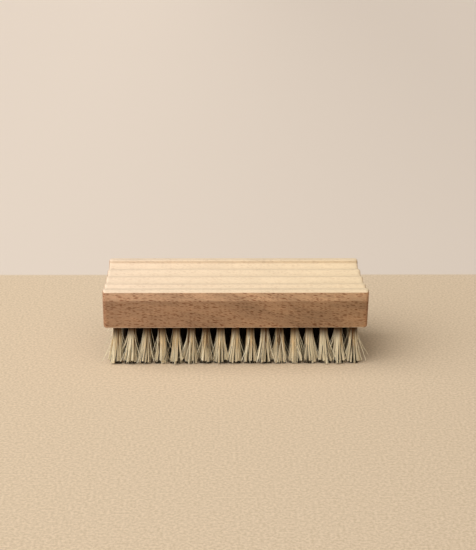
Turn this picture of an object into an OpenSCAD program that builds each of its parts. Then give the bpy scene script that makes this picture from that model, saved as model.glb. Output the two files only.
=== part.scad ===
// Nail brush: a moulded wooden block, ridged on top, with five rows of bristle tufts below.
// X runs along the block, Y across it and Z up. The origin is under the middle, where the tips stand.

/* [Block] */
// Length of the block
block_length = 110; // [90:1:130]
// Width of the block
block_width = 47; // [42:1:52]
// Height of the wood, from its underside to the top of the rims
block_height = 17.1; // [15.5:0.1:22]
// Height of the upright band along each long side, above the crease
band_height = 4.6; // [3:0.1:6]
// How far each long side leans in from the crease to the underside
side_lean = 2; // [0.5:0.1:2.6]
// Chamfer on the upright corners
corner_chamfer = 1.2; // [0.5:0.1:2]
// Chamfer on the long top edges
top_chamfer = 1; // [0.3:0.1:1.2]
// Chamfer on the top and bottom edges of both ends
end_chamfer = 0.7; // [0.3:0.1:1.2]
// Chamfer on the long bottom edges
bottom_chamfer = 0.7; // [0.3:0.1:1.2]

/* [Ridged top] */
// Width of each rim, at the level of the ridges
rim_width = 4; // [3:0.1:5]
// How far the ridges lie below the rims
rest_depth = 1.4; // [0.8:0.1:1.8]
// Width of the flat top of a ridge
ridge_width = 1.9; // [1:0.1:3]
// Depth of a groove below the ridges
groove_depth = 1.7; // [1:0.1:2]
// Number of grooves
groove_count = 4; // [3:1:5]

/* [Bristles] */
// Free length of the bristles, from the underside of the wood to the trimmed tips
trim_length = 16.9; // [12:0.1:22]
// Tufts in the longer rows, which take turns with rows of one tuft less
tufts_in_row = 17; // [13:1:17]
// Distance from the end of the block to the first hole's centre
end_margin = 5.5; // [4.8:0.1:8]
// Distance from the long side of the block to the outer row's centres
side_margin = 6.4; // [5.9:0.1:7]
// Diameter of a tuft hole
hole_diameter = 3.5; // [3:0.1:3.8]
// Depth of a tuft hole
hole_depth = 9.5; // [7:0.1:10.5]
// Width of a tuft across its trimmed tips
tip_width = 5.6; // [4:0.1:5.6]
// Strands that stand for the bristles of one tuft
strands_in_tuft = 6; // [4:1:6]

/* [Anchors] */
// Width of the flat wire anchor that a tuft is folded over
anchor_width = 3.2; // [2:0.1:3.2]
// Height of an anchor
anchor_height = 1.6; // [1:0.1:2.4]
// Thickness of an anchor
anchor_thickness = 0.35; // [0.2:0.05:0.6]

/* [Hidden] */
$fn = 48;

// How far a cutting shape runs past what it cuts
overrun = 2;
// Rows of tufts
row_count = 5;
// Gap all round between a tuft's root and its hole
root_gap = 0.05;
// Gap all round between an anchor and the fold that holds it
anchor_gap = 0.03;
// Thickness of the fold of bristles above an anchor
fold_height = 1.2;
// Share of its own wedge that a strand fills where it leaves the hole
strand_root_share = 0.84;
// Share of its own wedge that a strand fills at the tip
strand_tip_share = 0.66;
// Share of its distance from the middle by which a tuft leans out at the tips
splay_share = 0.02;
// Angle that each tuft is turned past the one before it, so that no two look alike
tuft_turn = 25;

block_bottom = trim_length;
block_top = block_bottom + block_height;
crease_z = block_top - band_height;
half_length = block_length / 2;
half_width = block_width / 2;
lower_height = crease_z - block_bottom;
lean_angle = atan(side_lean / lower_height);

ridge_z = block_top - rest_depth;
rest_width = block_width - 2 * rim_width;
groove_width = (rest_width - (groove_count - 1) * ridge_width) / groove_count;
groove_pitch = groove_width + ridge_width;
groove_radius = (pow(groove_width / 2, 2) + pow(groove_depth, 2)) / (2 * groove_depth);

tuft_pitch = (block_length - 2 * end_margin) / (tufts_in_row - 1);
row_pitch = (block_width - 2 * side_margin) / (row_count - 1);
root_radius = hole_diameter / 2 - root_gap;
root_top = block_bottom + hole_depth - root_gap;
anchor_top = root_top - fold_height;

// Number of tufts in a row, counted from 0 at the front
function tufts_of(row) = tufts_in_row - row % 2;

// Centres of the tufts of one row
function tuft_places(row) = [
  for (i = [0 : tufts_of(row) - 1])
    [(i - (tufts_of(row) - 1) / 2) * tuft_pitch, (row - (row_count - 1) / 2) * row_pitch]
];

// A point on a ring of the given radius and height, round a centre in the plane
function on_ring(centre, radius, angle, z) =
  [centre[0] + radius * cos(angle), centre[1] + radius * sin(angle), z];

// A triangle drawn in towards its own middle
function drawn_in(corners, share) =
  let (middle = (corners[0] + corners[1] + corners[2]) / len(corners))
  [for (corner = corners) middle + (corner - middle) * share];

// The wedge of a ring that belongs to one strand
function wedge(centre, radius, turn, z, i) = [
  [centre[0], centre[1], z],
  on_ring(centre, radius, turn + 360 * i / strands_in_tuft, z),
  on_ring(centre, radius, turn + 360 * (i + 1) / strands_in_tuft, z)
];

// Two triangles between the matching edges of an upper and a lower loop
function strip(upper, lower, count) = [
  for (k = [0 : count - 1])
    let (next = (k + 1) % count)
    each [[upper[k], upper[next], lower[next]], [upper[k], lower[next], lower[k]]]
];

// Numbers of the points in one strand's loop
function loop_of(first, i) = [for (k = [0 : 2]) first + 3 * i + k];

// One tuft: a root that fills its hole and, fused to it, strands that spread to flat trimmed tips
module tuft(place, turn) {
  n = strands_in_tuft;
  tip_place = place * (1 + splay_share);
  tip_radius = tip_width / 2;
  points = [
    for (i = [0 : n - 1]) on_ring(place, root_radius, turn + 360 * i / n, root_top),
    for (i = [0 : n - 1]) on_ring(place, root_radius, turn + 360 * i / n, block_bottom),
    [place[0], place[1], block_bottom],
    for (i = [0 : n - 1])
      each drawn_in(wedge(place, root_radius, turn, block_bottom, i), strand_root_share),
    for (i = [0 : n - 1])
      each drawn_in(wedge(tip_place, tip_radius, turn, 0, i), strand_tip_share)
  ];
  top_loop = [for (i = [0 : n - 1]) i];
  mouth_loop = [for (i = [0 : n - 1]) n + i];
  middle = 2 * n;
  first_base = middle + 1;
  first_tip = first_base + 3 * n;
  faces = [
    for (i = [1 : n - 2]) [top_loop[0], top_loop[i + 1], top_loop[i]],
    each strip(top_loop, mouth_loop, n),
    for (i = [0 : n - 1])
      each strip([middle, mouth_loop[i], mouth_loop[(i + 1) % n]], loop_of(first_base, i), 3),
    for (i = [0 : n - 1])
      each strip(loop_of(first_base, i), loop_of(first_tip, i), 3),
    for (i = [0 : n - 1]) loop_of(first_tip, i)
  ];
  polyhedron(points = points, faces = faces);
}

// All tufts of one row, each with the slot where its anchor lies
module tuft_row(row) {
  places = tuft_places(row);
  color([0.88, 0.82, 0.70])
    difference() {
      for (i = [0 : len(places) - 1])
        tuft(places[i], tuft_turn * (i + row));
      for (place = places)
        anchor_shape(place, hole_diameter, anchor_gap);
    }
}

// The space of one anchor, with a gap all round
module anchor_shape(place, width, gap) {
  translate([
    place[0] - width / 2,
    place[1] - anchor_thickness / 2 - gap,
    anchor_top - anchor_height - gap
  ])
    cube([width, anchor_thickness + 2 * gap, anchor_height + 2 * gap]);
}

// All anchors of one row
module anchor_row(row) {
  color([0.76, 0.77, 0.78])
    for (place = tuft_places(row))
      anchor_shape(place, anchor_width, 0);
}

// Outline of the block as seen from its end, before the top is hollowed
module end_outline() {
  bottom_half = half_width - side_lean;
  chamfer_rise = bottom_chamfer;
  chamfer_run = bottom_chamfer - side_lean * bottom_chamfer / lower_height;
  right_side = [
    [bottom_half - chamfer_run, block_bottom],
    [bottom_half + side_lean * chamfer_rise / lower_height, block_bottom + chamfer_rise],
    [half_width, crease_z],
    [half_width, block_top - top_chamfer],
    [half_width - top_chamfer, block_top]
  ];
  left_side = [for (i = [len(right_side) - 1 : -1 : 0]) [-right_side[i][0], right_side[i][1]]];
  polygon(concat(right_side, left_side));
}

// What is moulded out of the top, as seen from the end: a flat recess and the round grooves in it
module rest_outline() {
  translate([-rest_width / 2, ridge_z])
    square([rest_width, rest_depth + overrun]);
  for (i = [0 : groove_count - 1])
    translate([(i - (groove_count - 1) / 2) * groove_pitch, ridge_z - groove_depth + groove_radius])
      circle(r = groove_radius);
}

// Outline of the block as seen from the front, with its end edges chamfered
module front_outline() {
  polygon([
    [-half_length + end_chamfer, block_bottom],
    [half_length - end_chamfer, block_bottom],
    [half_length, block_bottom + end_chamfer],
    [half_length, block_top - end_chamfer],
    [half_length - end_chamfer, block_top],
    [-half_length + end_chamfer, block_top],
    [-half_length, block_top - end_chamfer],
    [-half_length, block_bottom + end_chamfer]
  ]);
}

// What comes off one upright corner, as a slab that stands at the corner's edge
module corner_slab(slab_height) {
  slab = 2 * corner_chamfer;
  rotate([0, 0, 45])
    translate([-corner_chamfer / sqrt(2), -slab, 0])
      cube([slab, 2 * slab, slab_height]);
}

// Chamfers of one corner: upright beside the band, and leaning with the side below the crease
module corner_relief() {
  translate([half_length, half_width, crease_z - overrun / 2])
    corner_slab(band_height + overrun);
  translate([half_length, half_width, crease_z])
    rotate([-lean_angle, 0, 0])
      mirror([0, 0, 1])
        corner_slab(lower_height + overrun);
}

// Blind holes for all tufts
module tuft_holes() {
  for (row = [0 : row_count - 1])
    for (place = tuft_places(row))
      translate([place[0], place[1], block_bottom - overrun])
        cylinder(d = hole_diameter, h = hole_depth + overrun);
}

// The wooden block
module block() {
  color([0.74, 0.57, 0.41])
    difference() {
      intersection() {
        translate([-half_length, 0, 0])
          rotate([90, 0, 90])
            linear_extrude(block_length)
              difference() {
                end_outline();
                rest_outline();
              }
        translate([0, half_width, 0])
          rotate([90, 0, 0])
            linear_extrude(block_width)
              front_outline();
      }
      for (x_side = [0, 1])
        for (y_side = [0, 1])
          mirror([x_side, 0, 0])
            mirror([0, y_side, 0])
              corner_relief();
      tuft_holes();
    }
}

module tuft_row_1() { tuft_row(0); }
module tuft_row_2() { tuft_row(1); }
module tuft_row_3() { tuft_row(2); }
module tuft_row_4() { tuft_row(3); }
module tuft_row_5() { tuft_row(4); }

module anchor_row_1() { anchor_row(0); }
module anchor_row_2() { anchor_row(1); }
module anchor_row_3() { anchor_row(2); }
module anchor_row_4() { anchor_row(3); }
module anchor_row_5() { anchor_row(4); }

block();
tuft_row_1();
tuft_row_2();
tuft_row_3();
tuft_row_4();
tuft_row_5();
anchor_row_1();
anchor_row_2();
anchor_row_3();
anchor_row_4();
anchor_row_5();
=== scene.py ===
# %% [markdown]
# # A wooden nail brush
# A nail brush is a block of beech, moulded along its length, with tufts of pale bristle set in
# holes in its underside. This file dresses the imported solids of the brush: each piece is rebuilt in
# the place that its solid holds, and gets the finish of the real material. The first cell loads the
# solids as a fixed frame.

import math

import bpy
from mathutils import Matrix, Vector


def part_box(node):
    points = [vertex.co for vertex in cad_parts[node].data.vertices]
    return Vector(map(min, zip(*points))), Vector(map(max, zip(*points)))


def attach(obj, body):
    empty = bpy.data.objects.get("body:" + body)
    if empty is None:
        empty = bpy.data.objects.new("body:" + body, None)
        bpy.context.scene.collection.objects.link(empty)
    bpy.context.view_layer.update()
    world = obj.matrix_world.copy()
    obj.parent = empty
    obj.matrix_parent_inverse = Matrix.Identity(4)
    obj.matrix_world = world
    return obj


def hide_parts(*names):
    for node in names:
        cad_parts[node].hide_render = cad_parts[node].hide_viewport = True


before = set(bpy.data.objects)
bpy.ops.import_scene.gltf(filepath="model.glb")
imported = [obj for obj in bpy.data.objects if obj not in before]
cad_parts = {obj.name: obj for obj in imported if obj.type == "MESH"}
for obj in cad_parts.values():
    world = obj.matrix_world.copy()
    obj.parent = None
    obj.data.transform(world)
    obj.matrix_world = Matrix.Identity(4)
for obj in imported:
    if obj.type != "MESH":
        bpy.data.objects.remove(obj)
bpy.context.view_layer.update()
mm = 0.001
print("nodes:", ", ".join(sorted(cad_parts)))

# %% [markdown]
# ## Sizes
# The sizes repeat those of the solids, in metres. Everything below is worked out from them, so that
# the holes, the tufts and the moulding agree with each other.

# %% Sizes of the block and the tufts
block_length, block_width = 110 * mm, 47 * mm
block_bottom, block_top = 16.9 * mm, 34 * mm
band_height, side_lean = 4.6 * mm, 2 * mm
rim_width, rest_depth = 4 * mm, 1.4 * mm
ridge_width, groove_depth, groove_count = 1.9 * mm, 1.7 * mm, 4
row_count, tufts_in_row = 5, 17
end_margin, side_margin = 5.5 * mm, 6.4 * mm
hole_diameter, hole_depth = 3.5 * mm, 9.5 * mm
root_gap, fold_height = 0.05 * mm, 1.2 * mm
anchor_top = block_bottom + hole_depth - root_gap - fold_height
outer_x, outer_y = block_length / 2 - end_margin, block_width / 2 - side_margin
tuft_pitch = 2 * outer_x / (tufts_in_row - 1)
row_pitch = 2 * outer_y / (row_count - 1)
block_low, block_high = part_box("block")
print("block solid in mm:", [round(side / mm, 2) for side in block_high - block_low])
print("from tuft to tuft", round(tuft_pitch / mm, 2), "mm, from row to row", round(row_pitch / mm, 2), "mm")

# %% [markdown]
# ## The camera
# The camera stands about half a metre in front of the brush and looks down on it by 17.6 degrees.
# Its place was worked out from the straight edges of the block in the photograph, which meet at the
# vanishing points only for one distance and one height. A small turn about its own axis levels the
# block as the photograph has it.

# %% Camera
heading, drop, tilt = math.radians(1.62), math.radians(17.6), math.radians(0.42)
camera_place = Vector((-13.72, -533.72, 202.68)) * mm
camera_data = bpy.data.cameras.new("camera")
camera = bpy.data.objects.new("camera", camera_data)
bpy.context.scene.collection.objects.link(camera)
camera.matrix_world = (
    Matrix.Translation(camera_place)
    @ Matrix.Rotation(-heading, 4, "Z")
    @ Matrix.Rotation(math.pi / 2 - drop, 4, "X")
    @ Matrix.Rotation(tilt, 4, "Z")
)
image_height, focal_pixels = 550, 1307.06
camera_data.sensor_width = 36
camera_data.lens = focal_pixels * camera_data.sensor_width / image_height
camera_data.clip_start, camera_data.clip_end = 0.01, 20
bpy.context.scene.camera = camera
print("lens in mm:", round(camera_data.lens, 1))

# %% [markdown]
# ## Helpers for node trees
# Materials and Geometry Nodes are both trees of small sums. Most of these helpers add one node and
# return its result, so that a recipe reads like a line of arithmetic. A value can be a number or the
# result of another node.

# %% Helpers: nodes and sums
def put(tree, socket, value):
    """Wires a result to a socket, or writes a plain value into it."""
    if isinstance(value, bpy.types.NodeSocket):
        tree.links.new(value, socket)
    else:
        socket.default_value = value


def make(tree, kind, filled, **settings):
    """A new node with its settings, and its inputs filled by name, or by number where names repeat."""
    node = tree.nodes.new(kind)
    for name, value in settings.items():
        setattr(node, name, value)
    for name, value in filled.items():
        put(tree, node.inputs[name], value)
    return node


def calc(tree, operation, *values):
    return make(tree, "ShaderNodeMath", dict(enumerate(values)), operation=operation).outputs[0]


def times(tree, *values):
    result = values[0]
    for value in values[1:]:
        result = calc(tree, "MULTIPLY", result, value)
    return result


def plus(tree, first, second):
    return calc(tree, "ADD", first, second)


def minus(tree, first, second):
    return calc(tree, "SUBTRACT", first, second)


def sloped(tree, value, slope, start):
    """A straight line: value times slope, plus start."""
    return calc(tree, "MULTIPLY_ADD", value, slope, start)


def ease(tree, value, low, high, start=0.0, end=1.0):
    """A smooth step from start, where the value is low, to end, where it is high."""
    limits = {"Value": value, "From Min": low, "From Max": high, "To Min": start, "To Max": end}
    return make(tree, "ShaderNodeMapRange", limits, interpolation_type="SMOOTHSTEP").outputs["Result"]


print("helpers for sums ready")

# %% Helpers: vectors, colours and materials
def join_axes(tree, x, y, z):
    return make(tree, "ShaderNodeCombineXYZ", {0: x, 1: y, 2: z}).outputs[0]


def parts_of(tree, vector):
    """The x, y and z of a vector."""
    return make(tree, "ShaderNodeSeparateXYZ", {0: vector}).outputs


def scaled(tree, vector, size):
    return make(tree, "ShaderNodeVectorMath", {0: vector, "Scale": size}, operation="SCALE").outputs[0]


def shade(red, green, blue):
    """A colour as it looks on the screen, from 0 to 255, as the linear values that a node wants."""
    def linear(value):
        value = value / 255
        return value / 12.92 if value <= 0.04045 else ((value + 0.055) / 1.055) ** 2.4
    return (linear(red), linear(green), linear(blue), 1)


def blend_colours(tree, share, first, second, way="MIX"):
    filled = {0: share, 6: first, 7: second}
    return make(tree, "ShaderNodeMix", filled, data_type="RGBA", blend_type=way).outputs[2]


def toned(tree, colour, red, green, blue):
    """A colour with each channel multiplied by its own value."""
    return blend_colours(tree, 1.0, colour, join_axes(tree, red, green, blue), "MULTIPLY")


def noise(tree, place, scale, detail=2.0, roughness=0.5):
    filled = {"Vector": place, "Scale": scale, "Detail": detail, "Roughness": roughness}
    return make(tree, "ShaderNodeTexNoise", filled).outputs["Fac"]


def object_place(tree):
    return tree.nodes.new("ShaderNodeTexCoord").outputs["Object"]


def new_material(name, plain_colour, roughness):
    """A material with its tree and shader; a recipe may replace its plain colour and roughness."""
    material = bpy.data.materials.new(name)
    material.use_nodes = True
    shader = material.node_tree.nodes["Principled BSDF"]
    shader.inputs["Base Color"].default_value = plain_colour
    shader.inputs["Roughness"].default_value = roughness
    return material, material.node_tree, shader


print("helpers for colours ready")

# %% [markdown]
# ## The light
# A big soft window stands to the left, a little in front and above, and a pale ceiling gives back
# part of its light. Both are sun lamps with a wide angle here: a sun lights near and far things
# alike, so the table stays even, and the angle gives the soft shadow of a large window. The window's
# light is a little cool and what the room gives back is warm, which is why the shadow is warm. The
# sky itself is weak, so that the gaps between the tufts go dark. Past the floor, the camera and
# reflections see a pale backdrop in place of that sky. It shows in gloss and gives no diffuse light.

# %% Lamps and sky
window_strength, window_angle, window_colour = 2.44, 74, (0.895, 0.938, 1.0)
ceiling_strength, ceiling_angle, ceiling_colour = 1.58, 100, (1.0, 0.935, 0.835)
sky_strength, sky_colour = 0.07, (1, 0.975, 0.94, 1)
window_height, window_heading = math.radians(42), Vector((-0.893, -0.451, 0))
window_way = window_heading * math.cos(window_height) + Vector((0, 0, math.sin(window_height)))
ceiling_way = Vector((-0.15, -0.45, 1)).normalized()


def add_sun(name, way, strength, angle, colour):
    """A sun lamp that shines from the direction `way`, with its strength and its width in degrees."""
    data = bpy.data.lights.new(name, "SUN")
    data.energy, data.angle, data.color = strength, math.radians(angle), colour
    lamp = bpy.data.objects.new(name, data)
    bpy.context.scene.collection.objects.link(lamp)
    lamp.rotation_euler = way.to_track_quat("Z", "Y").to_euler()


add_sun("window", window_way, window_strength, window_angle, window_colour)
add_sun("ceiling", ceiling_way, ceiling_strength, ceiling_angle, ceiling_colour)
sky = bpy.data.worlds.new("pale_sky")
sky.use_nodes = True
weak_sky = sky.node_tree.nodes["Background"]
weak_sky.inputs["Color"].default_value = sky_colour
weak_sky.inputs["Strength"].default_value = sky_strength
bpy.context.scene.world = sky
bpy.context.scene.view_settings.view_transform = "Standard"
print("window, ceiling and sky:", window_strength, ceiling_strength, sky_strength)

# %% The backdrop past the floor
backdrop_colour = (0.74, 0.63, 0.53, 1)
tree = sky.node_tree
rays = tree.nodes.new("ShaderNodeLightPath").outputs
is_seen = rays["Is Camera Ray"]
for kind in ("Is Glossy Ray", "Is Transmission Ray"):
    is_seen = calc(tree, "MAXIMUM", is_seen, rays[kind])
backdrop = make(tree, "ShaderNodeBackground", {"Color": backdrop_colour})
choice = make(tree, "ShaderNodeMixShader", {0: is_seen, 1: weak_sky.outputs[0], 2: backdrop.outputs[0]})
put(tree, tree.nodes["World Output"].inputs["Surface"], choice.outputs[0])
print("nodes in the sky:", len(tree.nodes))

# %% [markdown]
# ## The table
# The brush stands on a plain pale board. Its colour is painted lighter on the window's side and
# darker away from it: painted light, for the window's light falling off across the table. Far behind
# the brush the floor turns to the cooler tone of a wall. It stays one flat sheet, so that nothing
# stands in the way when the brush is seen from behind. The floor is a stage and no part of the brush.

# %% Floor
floor_reach, wall_starts, wall_full = 3, 104 * mm, 107 * mm
window_side, dark_side, dark_share = -160 * mm, 260 * mm, 0.84
corner_signs = ((-1, -1), (1, -1), (1, 1), (-1, 1))
floor_mesh = bpy.data.meshes.new("floor")
floor_mesh.from_pydata([(floor_reach * x, floor_reach * y, 0) for x, y in corner_signs], [], [(0, 1, 2, 3)])
floor = bpy.data.objects.new("floor", floor_mesh)
bpy.context.scene.collection.objects.link(floor)
floor_material, tree, shader = new_material("pale_board", shade(222, 198, 168), 0.9)
place = object_place(tree)
x, y, z = parts_of(tree, place)
speckle = ease(tree, noise(tree, place, 950, 4, 0.6), 0.32, 0.68)
board = blend_colours(tree, speckle, shade(211, 188, 157), shade(233, 210, 181))
ground = blend_colours(tree, ease(tree, y, wall_starts, wall_full), board, shade(230, 215, 200))
# Painted light: the board is darkened away from the window, for the window's light falling off.
painted_light_fall = ease(tree, x, window_side, dark_side, 1.0, dark_share)
put(tree, shader.inputs["Base Color"], toned(tree, ground, painted_light_fall, painted_light_fall, painted_light_fall))
shader.inputs["Specular IOR Level"].default_value = 0.2
floor_mesh.materials.append(floor_material)
print("floor:", [round(side, 1) for side in floor.dimensions])

# %% [markdown]
# ## The block: its section
# The block is planed on a moulding machine, so it has one section from end to end. Each long side
# has an upright band above a crease and leans in below it. The top has two rims and, between them,
# four round grooves with three ridges, where water drains. The outer top edges have a small flat
# chamfer that catches the light. The section is drawn as corners, each with the radius that sanding
# leaves on it, and a short arc then replaces each corner.

# %% Corners of the section
half_width = block_width / 2
crease = block_top - band_height
ridge_level = block_top - rest_depth
rest_half = half_width - rim_width
groove_width = (2 * rest_half - (groove_count - 1) * ridge_width) / groove_count
groove_radius = ((groove_width / 2) ** 2 + groove_depth**2) / (2 * groove_depth)
groove_pitch = groove_width + ridge_width
top_chamfer, arris_radius, crease_radius = 0.95 * mm, 0.22 * mm, 0.9 * mm
edge_radius, rim_foot_radius, ridge_radius = 0.8 * mm, 0.9 * mm, 0.75 * mm


def groove_points(middle, steps=10):
    """Points along one groove from right to left, without its two edges."""
    reach = math.asin(groove_width / 2 / groove_radius)
    angles = [reach - 2 * reach * step / steps for step in range(1, steps)]
    centre_z = ridge_level - groove_depth + groove_radius
    return [(middle + groove_radius * math.sin(a), centre_z - groove_radius * math.cos(a), 0) for a in angles]


corners = [
    (-(half_width - side_lean), block_bottom, edge_radius),
    (half_width - side_lean, block_bottom, edge_radius),
    (half_width, crease, crease_radius),
    (half_width, block_top - top_chamfer, arris_radius),
    (half_width - top_chamfer, block_top, arris_radius),
    (rest_half, block_top, edge_radius),
    (rest_half, ridge_level, rim_foot_radius),
]
for number in range(groove_count):
    middle = ((groove_count - 1) / 2 - number) * groove_pitch
    corners += groove_points(middle)
    if number < groove_count - 1:
        corners.append((middle - groove_width / 2, ridge_level, ridge_radius))
        corners.append((middle - groove_width / 2 - ridge_width, ridge_level, ridge_radius))
corners += [
    (-rest_half, ridge_level, rim_foot_radius),
    (-rest_half, block_top, edge_radius),
    (-(half_width - top_chamfer), block_top, arris_radius),
    (-half_width, block_top - top_chamfer, arris_radius),
    (-half_width, crease, crease_radius),
]
print("corners:", len(corners), "groove width in mm:", round(groove_width / mm, 2))

# %% The section with its rounded corners
def rounded(points, steps=5, most_of_side=0.49):
    """The outline with an arc at each corner that has a radius."""
    outline = []
    for number, (y, z, radius) in enumerate(points):
        here = Vector((y, z))
        before = Vector(points[number - 1][:2]) - here
        after = Vector(points[(number + 1) % len(points)][:2]) - here
        if radius == 0:
            outline.append(here)
            continue
        opening = before.angle(after)
        reach = min(radius / math.tan(opening / 2), most_of_side * before.length, most_of_side * after.length)
        start, end = here + before.normalized() * reach, here + after.normalized() * reach
        bisector = (before.normalized() + after.normalized()).normalized()
        centre = here + bisector * reach / math.cos(opening / 2)
        arm, sweep = start - centre, (start - centre).angle_signed(end - centre)
        for step in range(steps + 1):
            outline.append(centre + Matrix.Rotation(-sweep * step / steps, 2) @ arm)
    return outline


outline = rounded(corners)
print("points round the section:", len(outline))

# %% The smaller section at the very end
side_ease, top_ease, arris_ease, least_radius = 1.4 * mm, 0.6 * mm, 0.9 * mm, 0.05 * mm
nearly_straight, touching = 0.02, 1e-6


def depth_of(start, end):
    """How far sanding takes one side of the section in at the ends: least on the moulded top."""
    lowest, outermost = min(start[1], end[1]), max(abs(start[0]), abs(end[0]))
    if lowest > block_top - 2 * top_chamfer and outermost > half_width - touching:
        return arris_ease
    return top_ease if lowest > ridge_level - 1.1 * groove_depth else side_ease


def taken_in(points):
    """The corners after each side has moved into the wood by its own depth."""
    smaller = []
    for number, (y, z, radius) in enumerate(points):
        before, after = points[number - 1], points[(number + 1) % len(points)]
        sides = [((before[0], before[1]), (y, z)), ((y, z), (after[0], after[1]))]
        inward = [Vector((-(end[1] - start[1]), end[0] - start[0])) for start, end in sides]
        first, second = [way.normalized() for way in inward]
        depths = [depth_of(start, end) for start, end in sides]
        levels = [normal.dot(Vector((y, z))) + depth for normal, depth in zip((first, second), depths)]
        spread = first.x * second.y - first.y * second.x
        if abs(spread) < nearly_straight:
            place = Vector((y, z)) + (first * depths[0] + second * depths[1]) / 2
        else:
            place = Vector(((levels[0] * second.y - levels[1] * first.y) / spread,
                            (first.x * levels[1] - second.x * levels[0]) / spread))
        inner_radius = 0 if radius == 0 else max(radius - math.copysign(depths[0], spread), least_radius)
        smaller.append((place.x, place.y, inner_radius))
    return smaller


end_outline = rounded(taken_in(corners))
steps_in = [inner - outer for outer, inner in zip(outline, end_outline)]
print("the end section is smaller by up to", round(max(step.length for step in steps_in) / mm, 2), "mm")

# %% The section as a face that knows its way in
section_mesh = bpy.data.meshes.new("block_wood")
section_mesh.from_pydata([(0, y, z) for y, z in outline], [], [list(range(len(outline)))])
inset_way = section_mesh.attributes.new("inset_way", "FLOAT_VECTOR", "POINT")
inset_way.data.foreach_set("vector", [value for step in steps_in for value in (0, step.x, step.y)])
block_wood = bpy.data.objects.new("block_wood", section_mesh)
bpy.context.scene.collection.objects.link(block_wood)
print("the face has", len(section_mesh.vertices), "points")

# %% [markdown]
# ## The block: its length
# A moulding is a section drawn along a line, which is a rule, so Geometry Nodes make it. Sanding has
# eased the ends, more at the upright corners and the underside than on top. A Bevel modifier could do
# that, but the tiny arcs on the arrises hold it back to a tenth of a millimetre. So the section shrinks
# along a quarter circle at each end instead: every point knows its way in, stored as an attribute.

# %% Helpers for trees that make shapes
def new_tree(name, floats, whole_numbers):
    """A Geometry Nodes tree with named inputs; returns it with the sockets that feed it and end it."""
    tree = bpy.data.node_groups.new(name, "GeometryNodeTree")
    kinds = {"Geometry": ["Geometry"], "Float": floats, "Int": whole_numbers, "Material": ["Material"]}
    for kind, labels in kinds.items():
        for label in labels:
            tree.interface.new_socket(label, in_out="INPUT", socket_type="NodeSocket" + kind)
    tree.interface.new_socket("Geometry", in_out="OUTPUT", socket_type="NodeSocketGeometry")
    given = tree.nodes.new("NodeGroupInput").outputs
    return tree, given, tree.nodes.new("NodeGroupOutput").inputs[0]


def finish_tree(tree, geometry, material, ending):
    """Realize Instances and Set Material, with which each tree ends."""
    realize = make(tree, "GeometryNodeRealizeInstances", {"Geometry": geometry})
    paint = make(tree, "GeometryNodeSetMaterial", {"Geometry": realize.outputs[0], "Material": material})
    tree.links.new(paint.outputs[0], ending)


def run_tree(piece, tree, values):
    """Adds the tree to a piece as a modifier and sets its inputs by their identifiers."""
    modifier = piece.modifiers.new(tree.name, "NODES")
    modifier.node_group = tree
    for item in tree.interface.items_tree:
        if item.in_out == "INPUT" and item.name in values:
            modifier[item.identifier] = values[item.name]


def grouped(tree, number, size):
    """The group of `size` that a whole number falls in, and its place in that group."""
    group = calc(tree, "FLOOR", calc(tree, "DIVIDE", plus(tree, number, 0.5), size))
    return group, minus(tree, number, times(tree, group, size))


print("helpers for shapes ready")

# %% Tree that draws the section along the block
length_tree, given, ending = new_tree("moulding_length", ["Length", "End Ease"], ["Points Round"])
t = length_tree
arc_steps = 6
points_down = plus(t, given["Points Round"], 1.0)
grid = make(t, "GeometryNodeMeshGrid", {"Vertices X": 2 * arc_steps + 2, "Vertices Y": points_down})
index = t.nodes.new("GeometryNodeInputIndex").outputs[0]
column, in_column = grouped(t, index, points_down)
point = calc(t, "MODULO", plus(t, in_column, 0.25), given["Points Round"])
from_end = calc(t, "MINIMUM", column, minus(t, 2 * arc_steps + 1, column))
turn = times(t, from_end, math.pi / 2 / arc_steps)
side = calc(t, "SIGN", minus(t, column, arc_steps + 0.5))
half_length = times(t, given["Length"], 0.5)
come_in = times(t, given["End Ease"], minus(t, 1.0, calc(t, "COSINE", turn)))
place_x = times(t, side, minus(t, half_length, come_in))
shrink = minus(t, 1.0, calc(t, "SINE", turn))
print("a grid of", 2 * arc_steps + 2, "sections, with", arc_steps, "steps of the quarter circle at each end")

# %% Tree: the grid takes its places from the section
def added(tree, first, second):
    return make(tree, "ShaderNodeVectorMath", {0: first, 1: second}, operation="ADD").outputs[0]


def from_section(value):
    """A value of the section's points, read for each point of the grid."""
    filled = {"Geometry": given["Geometry"], "Value": value, "Index": point}
    node = make(t, "GeometryNodeSampleIndex", filled, data_type="FLOAT_VECTOR", domain="POINT")
    return node.outputs["Value"]


attribute = make(t, "GeometryNodeInputNamedAttribute", {"Name": "inset_way"}, data_type="FLOAT_VECTOR")
way_in = attribute.outputs["Attribute"]
here = t.nodes.new("GeometryNodeInputPosition").outputs[0]
shrunk = added(t, from_section(here), scaled(t, from_section(way_in), shrink))
grid_place = added(t, shrunk, join_axes(t, place_x, 0, 0))
shell = make(t, "GeometryNodeSetPosition", {"Geometry": grid.outputs["Mesh"], "Position": grid_place})
outward = make(t, "GeometryNodeFlipFaces", {"Mesh": shell.outputs[0]})
print("nodes in it:", len(t.nodes))

# %% Tree: the two end faces
weld_distance = 0.001 * mm
all_pieces = make(t, "GeometryNodeJoinGeometry", {"Geometry": outward.outputs[0]})
for end_side in (1, -1):
    offset = join_axes(t, times(t, half_length, end_side), 0, 0)
    filled = {"Geometry": given["Geometry"], "Position": added(t, here, way_in), "Offset": offset}
    result = make(t, "GeometryNodeSetPosition", filled).outputs[0]
    if end_side < 0:
        result = make(t, "GeometryNodeFlipFaces", {"Mesh": result}).outputs[0]
    t.links.new(result, all_pieces.inputs["Geometry"])
weld = make(t, "GeometryNodeMergeByDistance", {"Geometry": all_pieces.outputs[0], "Distance": weld_distance})
finish_tree(t, weld.outputs[0], given["Material"], ending)
print("nodes in it now:", len(t.nodes))

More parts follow.
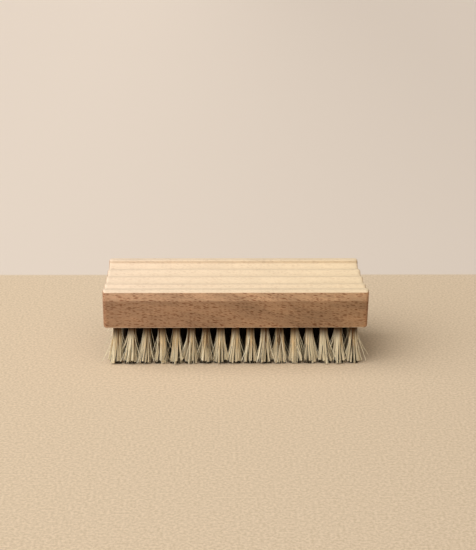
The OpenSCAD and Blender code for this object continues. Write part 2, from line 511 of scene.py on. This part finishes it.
# %% [markdown]
# ## The block: its holes
# Each tuft sits in a blind hole. The rows take turns: a row of 17, then a row of 16 that stands in
# the gaps of the one before. A grid of points with every second row shifted carries a drill, a plain
# cylinder of 24 sides, and an exact boolean then takes all the drills out of the wood at once.

# %% Tree: the places of the holes
drill_tree, given, ending = new_tree(
    "tuft_holes", ["Tuft Pitch", "Row Pitch", "Underside", "Hole Diameter", "Hole Depth"], ["Tufts", "Rows"]
)
t = drill_tree
row, column = grouped(t, t.nodes.new("GeometryNodeInputIndex").outputs[0], given["Tufts"])
odd = calc(t, "MODULO", row, 2.0)
last = minus(t, given["Tufts"], 1.0)
shifted = sloped(t, odd, 0.5, sloped(t, last, -0.5, column))
middle_row = times(t, minus(t, given["Rows"], 1.0), 0.5)
row_y = times(t, minus(t, row, middle_row), given["Row Pitch"])
spot = join_axes(t, times(t, shifted, given["Tuft Pitch"]), row_y, given["Underside"])
spots = make(t, "GeometryNodePoints", {"Count": times(t, given["Tufts"], given["Rows"]), "Position": spot})
too_far = times(t, odd, calc(t, "GREATER_THAN", column, minus(t, last, 0.5)))
kept_spots = make(t, "GeometryNodeDeleteGeometry", {"Geometry": spots.outputs[0], "Selection": too_far})
print("tree:", t.name)

# %% Tree: the drill and the cut
overrun, drill_sides = 1 * mm, 24
drill = make(t, "GeometryNodeMeshCylinder", {
    "Vertices": drill_sides, "Radius": times(t, given["Hole Diameter"], 0.5),
    "Depth": plus(t, given["Hole Depth"], overrun),
})
rise = join_axes(t, 0, 0, times(t, minus(t, given["Hole Depth"], overrun), 0.5))
lift = make(t, "GeometryNodeTransform", {"Geometry": drill.outputs["Mesh"], "Translation": rise})
carried = {"Points": kept_spots.outputs[0], "Instance": lift.outputs[0]}
drills = make(t, "GeometryNodeInstanceOnPoints", carried)
real_drills = make(t, "GeometryNodeRealizeInstances", {"Geometry": drills.outputs[0]})
wood_and_drills = {"Mesh 1": given["Geometry"], "Mesh 2": real_drills.outputs[0]}
cut = make(t, "GeometryNodeMeshBoolean", wood_and_drills, operation="DIFFERENCE", solver="EXACT")
finish_tree(t, cut.outputs["Mesh"], given["Material"], ending)
print("nodes in it:", len(t.nodes))

# %% [markdown]
# ## The block: beech
# Beech is a pale tan wood with a fine even grain. Its mark is the rays: short dark flecks, a few
# millimetres long, that lie along the grain on the sides. Growth rings show as faint bands along the
# sides and as arcs on the ends. The pattern is a solid one, in the wood's own millimetres, so the
# grain runs through the block and the ends show it cut across. Faces that look up are painted paler
# and with fainter grain, which stands in part for light: the washed-out brightness of the lit top.
# The sides are a deeper tan, and below the crease they are painted darker: painted shade of the face
# that leans in. The rounded lower edge is painted pale: painted light that the table gives back. Along
# the length the wood is painted darker and warmer away from the window: painted light, its falloff.
# Which way a face looks tells the material where it is: up on the top, along the length on the end
# grain.

# %% Beech: the wood's own coordinates
beech, tree, shader = new_material("beech", shade(205, 160, 120), 0.5)
x, y, z = parts_of(tree, scaled(tree, object_place(tree), 1 / mm))
grain_slope, level_again, grain_wander = 0.2, 50.0, 8.0
wander_place = join_axes(tree, times(tree, x, 0.016), times(tree, y, 0.02), times(tree, z, 0.03))
drift = times(tree, minus(tree, noise(tree, wander_place, 1.0, 1.0), 0.5), grain_wander)
grain_y = sloped(tree, drift, 0.4, y)
slope = sloped(tree, times(tree, x, x), -grain_slope / 3 / level_again**2, grain_slope)
grain_z = plus(tree, z, sloped(tree, x, slope, drift))
print("the grain falls by", grain_slope, "in the middle and lies level", level_again, "mm from it")

# %% Beech: where the wood faces up, down or along its length
end_x, recess_y = block_length / 2 / mm, rest_half / mm
recess_floor, crease_z = (ridge_level - groove_depth) / mm, crease / mm
facing = parts_of(tree, tree.nodes.new("ShaderNodeNewGeometry").outputs["Normal"])
upward, downward = facing["Z"], times(tree, facing["Z"], -1.0)
end_grain = ease(tree, calc(tree, "ABSOLUTE", facing["X"]), 0.45, 0.9)
between_rims = ease(tree, calc(tree, "ABSOLUTE", y), recess_y + 1.4, recess_y + 0.9)
above_floor = ease(tree, z, recess_floor - 0.5, recess_floor - 0.3)
in_recess = times(tree, between_rims, above_floor, minus(tree, 1.0, end_grain))
top_share = calc(tree, "MAXIMUM", ease(tree, upward, 0.3, 0.68), in_recess)
near_end = ease(tree, calc(tree, "ABSOLUTE", x), end_x - 2.6, end_x - 0.4)
end_share = calc(tree, "MAXIMUM", end_grain, times(tree, near_end, minus(tree, 1.0, top_share), 0.55))
# Painted light: the rounded lower edge, which looks partly down, is painted pale and cool for the light that
# the table gives back.
painted_table_light_edge = times(tree, ease(tree, downward, 0.25, 0.5), ease(tree, downward, 0.95, 0.8))
# Painted shade: below the crease the side leans in and is painted darker, for the light it loses.
painted_shade_below_crease = ease(tree, z, crease_z - 0.6, crease_z + 0.6, 1.0, 0.0)
print("shares: top, end grain, worn lower edge, below the crease")

# %% Beech: rings, fibres and flecks
pith_y, pith_z, ring_width = 16.0, -52.0, 3.4
from_pith = [minus(tree, grain_y, pith_y), minus(tree, grain_z, pith_z)]
ring_distance = calc(tree, "SQRT", plus(tree, *[calc(tree, "POWER", away, 2.0) for away in from_pith]))
ring_share = calc(tree, "FRACT", calc(tree, "DIVIDE", ring_distance, ring_width))
late_wood = times(tree, ease(tree, ring_share, 0.35, 0.9), ease(tree, ring_share, 1.0, 0.94))
fibres = noise(tree, join_axes(tree, times(tree, x, 0.14), grain_y, grain_z), 2.2, 3.0, 0.65)
broad = noise(tree, join_axes(tree, times(tree, x, 0.35), grain_y, grain_z), 0.16, 2.0)


def flecks(length, thickness, size, rarity, seed):
    """Spindle-shaped spots that lie along the grain, from 0 between them to 1 in the darkest ones."""
    across = [calc(tree, "DIVIDE", grain, thickness) for grain in (grain_y, grain_z)]
    spot = join_axes(tree, sloped(tree, x, 1 / length, seed), *across)
    cells = make(tree, "ShaderNodeTexVoronoi", {"Vector": spot, "Scale": 1}).outputs
    strength = ease(tree, parts_of(tree, cells["Color"])["X"], rarity, 1.0)
    return times(tree, ease(tree, cells["Distance"], size, size * 0.5), strength)


long_flecks = flecks(3.2, 0.7, 0.4, 0.1, 3.7)
short_flecks = flecks(1.8, 0.42, 0.46, 0.0, 11.2)
light_flecks = flecks(2.2, 0.5, 0.44, 0.0, 7.3)
pores = flecks(1.1, 0.2, 0.4, 0.0, 5.1)
print("patterns: rings, fibres, dark and light flecks, pores")

# %% Beech: its plain colours, painted light and shade, and their light and dark
wood = shade(198, 160, 126)
for share, colour in (
    # Painted shade below the crease.
    (painted_shade_below_crease, shade(164, 129, 98)),
    # In part painted light: the paler top, for the washed-out brightness of the lit top.
    (top_share, shade(227, 204, 173)),
    # Painted light from the table on the rounded lower edge.
    (times(tree, painted_table_light_edge, 0.75), shade(204, 184, 164)),
    (times(tree, end_share, 0.75), shade(169, 121, 86)),
):
    wood = blend_colours(tree, share, wood, colour)
broad_part = times(tree, minus(tree, broad, 0.5), 0.8)
light_and_dark = sloped(tree, minus(tree, fibres, 0.5), 0.5, broad_part)
light_and_dark = sloped(tree, late_wood, -0.06, light_and_dark)
# Painted light: the wood darkens towards +x, and its blue more, for the window's light falling off away from
# the left.
painted_window_falloff = sloped(tree, x, -0.001, 1.03)
# Where faces look up, the grain's light and dark is faded: in part painted light, for the washed-out lit top.
tone = sloped(tree, light_and_dark, sloped(tree, top_share, -0.72, 1.0), painted_window_falloff)
blue_with_painted_falloff = times(tree, tone, sloped(tree, x, -0.001, 1.0))
wood = toned(tree, wood, tone, tone, blue_with_painted_falloff)
# In this list the worn edge is the lower edge painted pale as light from the table, and below the crease is
# painted shade.
print("colours: band, below the crease, top, worn edge, end grain")

# %% Beech: flecks, gloss and relief
fleck_colour = blend_colours(tree, 1.0, wood, shade(172, 132, 104), "MULTIPLY")
# The flecks fade where faces look up: in part painted light, for the washed-out lit top.
showing = sloped(tree, top_share, -0.8, 1.0)
for pattern, share in ((long_flecks, 0.95), (short_flecks, 0.95), (pores, 0.45)):
    wood = blend_colours(tree, times(tree, pattern, share, showing), wood, fleck_colour)
pale_wood = blend_colours(tree, 1.0, wood, (1.3, 1.3, 1.32, 1), "MULTIPLY")
wood = blend_colours(tree, times(tree, light_flecks, 0.6, showing), wood, pale_wood)
put(tree, shader.inputs["Base Color"], wood)
put(tree, shader.inputs["Roughness"], sloped(tree, fibres, 0.2, 0.42))
shader.inputs["Specular IOR Level"].default_value = 0.35
height = minus(tree, fibres, times(tree, pores, 0.4))
relief = make(tree, "ShaderNodeBump", {"Strength": 0.25, "Distance": 0.1 * mm, "Height": height})
put(tree, shader.inputs["Normal"], relief.outputs[0])
print("nodes in the beech:", len(tree.nodes))

# %% [markdown]
# ## The block: put together
# The modifiers run in the order of the work on the real block: moulding with its eased ends, drilling.
# Weighted normals then keep the broad faces flat to the eye while the small round edges shade
# softly. The result becomes a plain mesh, which stands for the solid block of the frame.

# %% Block
def made_plain(piece):
    """Replaces a piece's modifiers by the mesh that they make."""
    graph = bpy.context.evaluated_depsgraph_get()
    result = piece.evaluated_get(graph)
    mesh = bpy.data.meshes.new_from_object(result, preserve_all_data_layers=True, depsgraph=graph)
    piece.modifiers.clear()
    piece.data = mesh
    mesh.name = piece.name
    return mesh


run_tree(block_wood, length_tree, {
    "Length": block_length, "End Ease": side_ease, "Points Round": len(outline), "Material": beech,
})
run_tree(block_wood, drill_tree, {
    "Tufts": tufts_in_row, "Rows": row_count, "Tuft Pitch": tuft_pitch, "Row Pitch": row_pitch,
    "Underside": block_bottom, "Hole Diameter": hole_diameter, "Hole Depth": hole_depth, "Material": beech,
})
block_mesh = made_plain(block_wood)
block_mesh.shade_smooth()
flat_faces = block_wood.modifiers.new("flat_faces", "WEIGHTED_NORMAL")
flat_faces.weight = 90
flat_faces.keep_sharp = True
block_mesh.set_sharp_from_angle(angle=math.radians(50))
block_mesh = made_plain(block_wood)
block_size = [round(side / mm, 2) for side in block_wood.dimensions]
print("block:", len(block_mesh.polygons), "faces,", block_size, "mm")

# %% [markdown]
# ## The bristles
# A tuft is a pinch of bristle that is folded in two over a short piece of flat wire and driven into
# its hole, so each strand comes out of the hole twice. Tight in the hole, it spreads towards the
# tips. A cutter has trimmed them nearly level, and strands that cling together in locks end at
# slightly different heights, in front of the middle of the tuft, which stands on the table and is
# painted dark as shade.
# Particle hair could make them, but Geometry Nodes keep every strand a real shape of its own: one
# tree makes a row of tufts, and each strand is a curve of 13 points, tip to fold to tip, that gets
# its place from its own number.

# %% Bristles: which strand, which tuft, which leg
row_tree, given, ending = new_tree(
    "tuft_row",
    ["Tuft Pitch", "Row Place", "Mouth", "Anchor Top", "Root Radius", "Tip Radius", "Strand Radius", "Splay",
     "Gather", "Strays", "Uneven Tips"],
    ["Tufts", "Strands", "Seed"],
)
t = row_tree
fold_point, mouth_step = 6, 2


def chance(lowest, highest, which, number):
    """A random value with a fixed seed, the same for all points that share the number `which`."""
    filled = {2: lowest, 3: highest, 7: which, 8: plus(t, given["Seed"], number)}
    return make(t, "FunctionNodeRandomValue", filled, data_type="FLOAT").outputs[1]


counted = t.nodes.new("GeometryNodeCurveOfPoint").outputs
strand_number, point_number = counted["Curve Index"], counted["Index in Curve"]
tuft_number, in_tuft = grouped(t, strand_number, given["Strands"])
second_leg = calc(t, "GREATER_THAN", point_number, fold_point)
from_fold = minus(t, point_number, fold_point)
leg_side, step = calc(t, "SIGN", from_fold), calc(t, "ABSOLUTE", from_fold)
past_mouth = times(t, minus(t, step, mouth_step), 1 / (fold_point - mouth_step))
reach = calc(t, "MINIMUM", calc(t, "MAXIMUM", past_mouth, 0.0), 1.0)
leg_number = sloped(t, strand_number, 2.0, second_leg)
middle_tuft = times(t, minus(t, given["Tufts"], 1.0), 0.5)
tuft_x = times(t, minus(t, tuft_number, middle_tuft), given["Tuft Pitch"])
print("numbers: strand, tuft, leg, step")

# %% Bristles: places in the hole
golden_turn, leg_turn = 0.618, 0.37
anchor_gap, centre_gap = 0.3 * mm, 0.02 * mm


def from_to(start, end, share):
    return sloped(t, minus(t, end, start), share, start)


def on_circle(radius, angle):
    return times(t, radius, calc(t, "COSINE", angle)), times(t, radius, calc(t, "SINE", angle))


turned = sloped(t, in_tuft, golden_turn, chance(0.0, 1.0, tuft_number, 1))
turn_share = calc(t, "FRACT", plus(t, turned, times(t, second_leg, leg_turn)))
place_share = calc(t, "DIVIDE", plus(t, in_tuft, 0.5), given["Strands"])
packed_share = calc(t, "FRACT", plus(t, place_share, times(t, second_leg, 0.5)))
packed_radius = times(t, given["Root Radius"], calc(t, "SQRT", packed_share))
hole_x, hole_reach = on_circle(packed_radius, times(t, turn_share, math.pi))
hole_y = times(t, leg_side, calc(t, "MAXIMUM", hole_reach, centre_gap))
deep_y = times(t, leg_side, calc(t, "MAXIMUM", hole_reach, anchor_gap))
print("legs are packed over half a hole on each side of the anchor")

# %% Bristles: the lock that a strand clings to
locks_round, lock_shells = 6, 2
inner_shell, shell_gap = 0.3, 0.5
lock_shell = calc(t, "FLOOR", times(t, packed_share, lock_shells))
lock_turn = calc(t, "FLOOR", times(t, turn_share, locks_round))
lock_in_leg = sloped(t, lock_shell, locks_round, lock_turn)
leg_in_row = sloped(t, tuft_number, 2.0, second_leg)
lock_number = plus(t, lock_in_leg, times(t, leg_in_row, locks_round * lock_shells))
lock_angle = times(t, plus(t, lock_turn, 0.5), math.pi / locks_round)
lock_radius = times(t, given["Root Radius"], calc(t, "SQRT", sloped(t, lock_shell, shell_gap, inner_shell)))
lock_x, lock_reach = on_circle(lock_radius, lock_angle)
gathered_x = from_to(hole_x, lock_x, given["Gather"])
gathered_y = times(t, leg_side, from_to(hole_reach, lock_reach, given["Gather"]))
print("locks in a tuft:", 2 * locks_round * lock_shells)

# %% Bristles: how far the tips lean
least_spread, most_spread = 0.78, 1.15
stray_x_reach, stray_y_reach = 4 * mm, 2.4 * mm
spread = times(t, calc(t, "DIVIDE", given["Tip Radius"], given["Root Radius"]),
               chance(least_spread, most_spread, leg_number, 2))
stray = calc(t, "GREATER_THAN", chance(0.0, 1.0, leg_number, 3), minus(t, 1.0, given["Strays"]))
stray_x = times(t, stray, chance(-stray_x_reach, stray_x_reach, leg_number, 4))
stray_y = times(t, stray, chance(-stray_y_reach, stray_y_reach, leg_number, 14))


def lean(tuft_part, lock_part, own_part, seed):
    """How far a tip leans: a share of the whole tuft, of its lock and of the strand alone."""
    whole = chance(-tuft_part * mm, tuft_part * mm, tuft_number, seed)
    lock = chance(-lock_part * mm, lock_part * mm, lock_number, seed + 1)
    own = chance(-own_part * mm, own_part * mm, leg_number, seed + 2)
    return plus(t, whole, plus(t, lock, own))


off_x = plus(t, sloped(t, gathered_x, spread, lean(0.4, 0.7, 0.3, 20)), stray_x)
off_y = plus(t, sloped(t, gathered_y, spread, lean(0.3, 0.6, 0.3, 30)), stray_y)
print("a tip leans with its tuft, with its lock and alone, and a few stray")

# %% Bristles: the core of a tuft and the places of the tips
core_share, core_x_reach, core_y_reach = 0.42, 2.6 * mm, 1.4 * mm
past_row_end = 1.3 * mm
core = calc(t, "LESS_THAN", packed_share, core_share)
row_end = sloped(t, middle_tuft, given["Tuft Pitch"], past_row_end)
core_x = calc(t, "MINIMUM", plus(t, tuft_x, chance(-core_x_reach, core_x_reach, leg_number, 5)), row_end)
core_x = calc(t, "MAXIMUM", core_x, times(t, row_end, -1.0))
off_x = from_to(off_x, minus(t, core_x, tuft_x), core)
off_y = from_to(off_y, times(t, leg_side, chance(0, core_y_reach, leg_number, 6)), core)
tip_x = sloped(t, tuft_x, given["Splay"], off_x)
tip_y = sloped(t, given["Row Place"], given["Splay"], off_y)
print("the core spreads over", core_x_reach / mm, "mm to each side and fills the row's middle")

# %% Bristles: how high the tips end
own_short, outward_short, lock_short, level_share, core_levelling = 0.35, 0.35, 1.1, 0.25, 0.9
outward = calc(t, "DIVIDE", plus(t, times(t, off_x, off_x), times(t, off_y, off_y)),
               times(t, given["Tip Radius"], given["Tip Radius"]))
own_uneven = times(t, calc(t, "POWER", chance(0.0, 1.0, leg_number, 9), 2.0), own_short)
short_by = sloped(t, calc(t, "MINIMUM", outward, 2.0), outward_short, own_uneven)
short_by = sloped(t, chance(0.0, 1.0, lock_number, 15), lock_short, short_by)
short_by = calc(t, "MAXIMUM", minus(t, short_by, level_share), 0.0)
tip_z = times(t, short_by, given["Uneven Tips"], sloped(t, core, -core_levelling, 1.0))
own_bend = sloped(t, stray, -0.3, chance(1.5, 2.6, leg_number, 10))
bend = calc(t, "POWER", reach, sloped(t, core, 1.5, own_bend))
print("a tip that stands out ends higher, and so does a short lock")

# %% Bristles: the whole strand
crown_rise, crown_stack, taper = 0.25 * mm, 0.75 * mm, 0.15
at_crown = calc(t, "LESS_THAN", step, 0.5)
at_shoulder = times(t, calc(t, "GREATER_THAN", step, 0.5), calc(t, "LESS_THAN", step, 1.5))
free_x = from_to(hole_x, tip_x, bend)
free_y = from_to(hole_y, tip_y, bend)
free_z = from_to(given["Mouth"], tip_z, reach)
strand_y = times(t, from_to(free_y, deep_y, at_shoulder), minus(t, 1.0, at_crown))
fold_z = sloped(t, at_crown, sloped(t, packed_share, crown_stack, crown_rise), given["Anchor Top"])
strand_z = from_to(free_z, fold_z, plus(t, at_crown, at_shoulder))
strand_place = join_axes(t, plus(t, tuft_x, free_x), plus(t, given["Row Place"], strand_y), strand_z)
narrowed = sloped(t, reach, -taper, 1.0)
strand_radius = times(t, given["Strand Radius"], narrowed, chance(0.7, 1.3, leg_number, 11))
print("a strand has", 2 * fold_point + 1, "points, from tip to tip")

# %% Bristles: from points to curves
starts = make(t, "GeometryNodePoints", {"Count": times(t, given["Tufts"], given["Strands"])})
straight = t.nodes.new("GeometryNodeCurvePrimitiveLine")
divided = make(t, "GeometryNodeResampleCurve", {"Curve": straight.outputs[0], "Count": 2 * fold_point + 1})
carried = {"Points": starts.outputs[0], "Instance": divided.outputs[0]}
copies = make(t, "GeometryNodeInstanceOnPoints", carried)
real = make(t, "GeometryNodeRealizeInstances", {"Geometry": copies.outputs[0]})
placed = make(t, "GeometryNodeSetPosition", {"Geometry": real.outputs[0], "Position": strand_place})
tone_of_lock, tone_of_strand, tone_of_stray = 0.62, 0.38, 0.4
tone = sloped(t, chance(0.0, 1.0, lock_number, 16), tone_of_lock, times(t, stray, tone_of_stray))
tone = sloped(t, chance(0.0, 1.0, leg_number, 12), tone_of_strand, tone)
marked = placed.outputs[0]
for name, value in (("strand_tone", tone), ("strand_reach", reach), ("strand_out", packed_share),
                    ("tuft_tone", chance(0.0, 1.0, tuft_number, 13))):
    filled = {"Geometry": marked, "Name": name, "Value": value}
    marked = make(t, "GeometryNodeStoreNamedAttribute", filled, data_type="FLOAT", domain="POINT").outputs[0]
print("each strand carries its tone, its reach, its place in the tuft and the tuft's tone")

# %% Bristles: from curves to mesh
ring = make(t, "GeometryNodeCurvePrimitiveCircle", {"Resolution": 3, "Radius": 1.0})
tube = make(t, "GeometryNodeCurveToMesh", {
    "Curve": marked, "Profile Curve": ring.outputs[0], "Scale": strand_radius, "Fill Caps": True,
})
finish_tree(t, tube.outputs[0], given["Material"], ending)
print("nodes in the row's tree:", len(t.nodes))

# %% [markdown]
# ## The bristles: their finish
# Natural bristle is never one colour. In one tuft, cream strands stand beside straw and tan ones, and
# a strand pales towards its split tip; the paler lower part also stands in part for light from the
# table. Near the wood each strand is painted dark: partly a darker root, mostly painted shade under
# the block. The inner tufts and the middle of each tuft are painted dark almost to their tips: painted
# shade, where little light reaches. The cut ends, which look straight down, are left out of that
# painted shade. The tree has stored four numbers on each strand, and the material turns these and its
# place in the brush into its colour.

# %% Bristle: colour along a strand
bristle, tree, shader = new_material("bristle", shade(225, 210, 178), 0.27)


def stored(name):
    node = tree.nodes.new("ShaderNodeAttribute")
    node.attribute_name = name
    return node.outputs["Fac"]


strand_tone, strand_reach = stored("strand_tone"), stored("strand_reach")
strand_out, tuft_tone = stored("strand_out"), stored("tuft_tone")
# Near the wood a strand is painted dark: partly its own darker root, mostly painted shade under the block.
root_tone_and_shade = ease(tree, strand_reach, 0.06, 0.46, 0.96, 0.0)
hair = shade(104, 74, 40)
for share, colour in (
    (ease(tree, strand_tone, 0.24, 0.38), shade(246, 217, 165)),
    (ease(tree, strand_tone, 0.42, 0.56), shade(255, 242, 209)),
    # The dark root colour, mostly painted shade.
    (root_tone_and_shade, shade(82, 50, 25)),
    # Paler tips: the bristle's own pale split tips, and partly painted light from the table below.
    (ease(tree, strand_reach, 0.45, 0.85, 0.0, 0.82), shade(255, 242, 208)),
):
    hair = blend_colours(tree, share, hair, colour)
print("a strand is tan, straw or cream, dark at the root and pale at the tip")

# %% Bristle: the shade inside the brush and in each tuft
x, y, z = parts_of(tree, object_place(tree))
inside_x = ease(tree, calc(tree, "ABSOLUTE", x), outer_x + 1 * mm, outer_x - 3 * mm)
inside_y = ease(tree, calc(tree, "ABSOLUTE", y), outer_y + 0.6 * mm, outer_y - 2.4 * mm)
inside = times(tree, inside_x, inside_y)
# Painted shade: strands inside the brush are painted dark almost to their tips, where little light reaches.
shade_along_strand = times(tree, ease(tree, strand_reach, 0.45, 0.9, 0.99, 0.8), ease(tree, strand_reach, 0.98, 0.88))
# Painted shade: the strands in the middle of each tuft are painted dark.
mid_tuft_shade = times(tree, ease(tree, strand_out, 0.58, 0.42, 0.0, 0.94), sloped(tree, inside, -0.6, 1.0))
in_shade = calc(tree, "MAXIMUM", times(tree, inside, shade_along_strand), mid_tuft_shade)
looks = parts_of(tree, tree.nodes.new("ShaderNodeNewGeometry").outputs["True Normal"])
in_shade = times(tree, in_shade, ease(tree, looks["Z"], -0.8, -0.5))
# The painted shade: a near-black brown.
hair = blend_colours(tree, in_shade, hair, shade(30, 17, 8))
tuft_grey = sloped(tree, tuft_tone, 0.06, 0.96)
put(tree, shader.inputs["Base Color"], toned(tree, hair, tuft_grey, tuft_grey, tuft_grey))
# The gloss fades where shade is painted and near the root.
gloss = sloped(tree, calc(tree, "MAXIMUM", in_shade, root_tone_and_shade), -0.95, 1.0)
put(tree, shader.inputs["Specular IOR Level"], gloss)
print("nodes in the bristle:", len(tree.nodes))

# %% Bristle rows
tuft_form = {
    "Strands": 138, "Root Radius": 1.5 * mm, "Tip Radius": 2.9 * mm, "Strand Radius": 0.13 * mm,
    "Splay": 0.02, "Gather": 0.62, "Strays": 0.13, "Uneven Tips": 1.7 * mm,
    "Tuft Pitch": tuft_pitch, "Mouth": block_bottom, "Anchor Top": anchor_top, "Material": bristle,
}
bristle_rows = []
for number in range(row_count):
    name = f"bristle_row_{number + 1}"
    row_object = bpy.data.objects.new(name, bpy.data.meshes.new(name))
    bpy.context.scene.collection.objects.link(row_object)
    run_tree(row_object, row_tree, tuft_form | {
        "Tufts": tufts_in_row - number % 2,
        "Row Place": (number - (row_count - 1) / 2) * row_pitch,
        "Seed": 40 * number + 19,
    })
    mesh = made_plain(row_object)
    mesh.shade_smooth()
    bristle_rows.append(row_object)
    mesh.calc_loop_triangles()
    places = [v.co / mm for v in mesh.vertices]
    low, high = [[round(edge(place[a] for place in places), 1) for a in range(3)] for edge in (min, max)]
    print(name, len(mesh.loop_triangles), "triangles, from", low, "to", high)

# %% [markdown]
# ## The anchors
# Deep in each hole a short piece of flat steel wire holds the fold of its tuft. The solids of the
# frame have its true shape, so they stay and only get a material: bare drawn wire, bright and
# slightly streaked along its length.

# %% Anchor wire
wire, tree, shader = new_material("anchor_wire", shade(196, 198, 200), 0.35)
shader.inputs["Metallic"].default_value = 1.0
stretch = make(tree, "ShaderNodeMapping", {"Vector": object_place(tree), "Scale": (300, 300, 9000)})
streaks = noise(tree, stretch.outputs[0], 1.0, 2.0)
put(tree, shader.inputs["Roughness"], sloped(tree, streaks, 0.25, 0.22))
wire_colour = blend_colours(tree, streaks, shade(184, 186, 188), shade(212, 214, 215))
put(tree, shader.inputs["Base Color"], wire_colour)
slots = []
for number in range(row_count):
    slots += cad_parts[f"anchor_row_{number + 1}"].material_slots
for slot in slots:
    slot.material = wire
print("anchor slots with wire:", len(slots))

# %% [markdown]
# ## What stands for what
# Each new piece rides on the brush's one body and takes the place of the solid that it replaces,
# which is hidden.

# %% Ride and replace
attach(block_wood, "root")
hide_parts("block")
for number, row_object in enumerate(bristle_rows):
    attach(row_object, "root")
    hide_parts(f"tuft_row_{number + 1}")
print("pieces that ride on the brush:", 1 + len(bristle_rows))
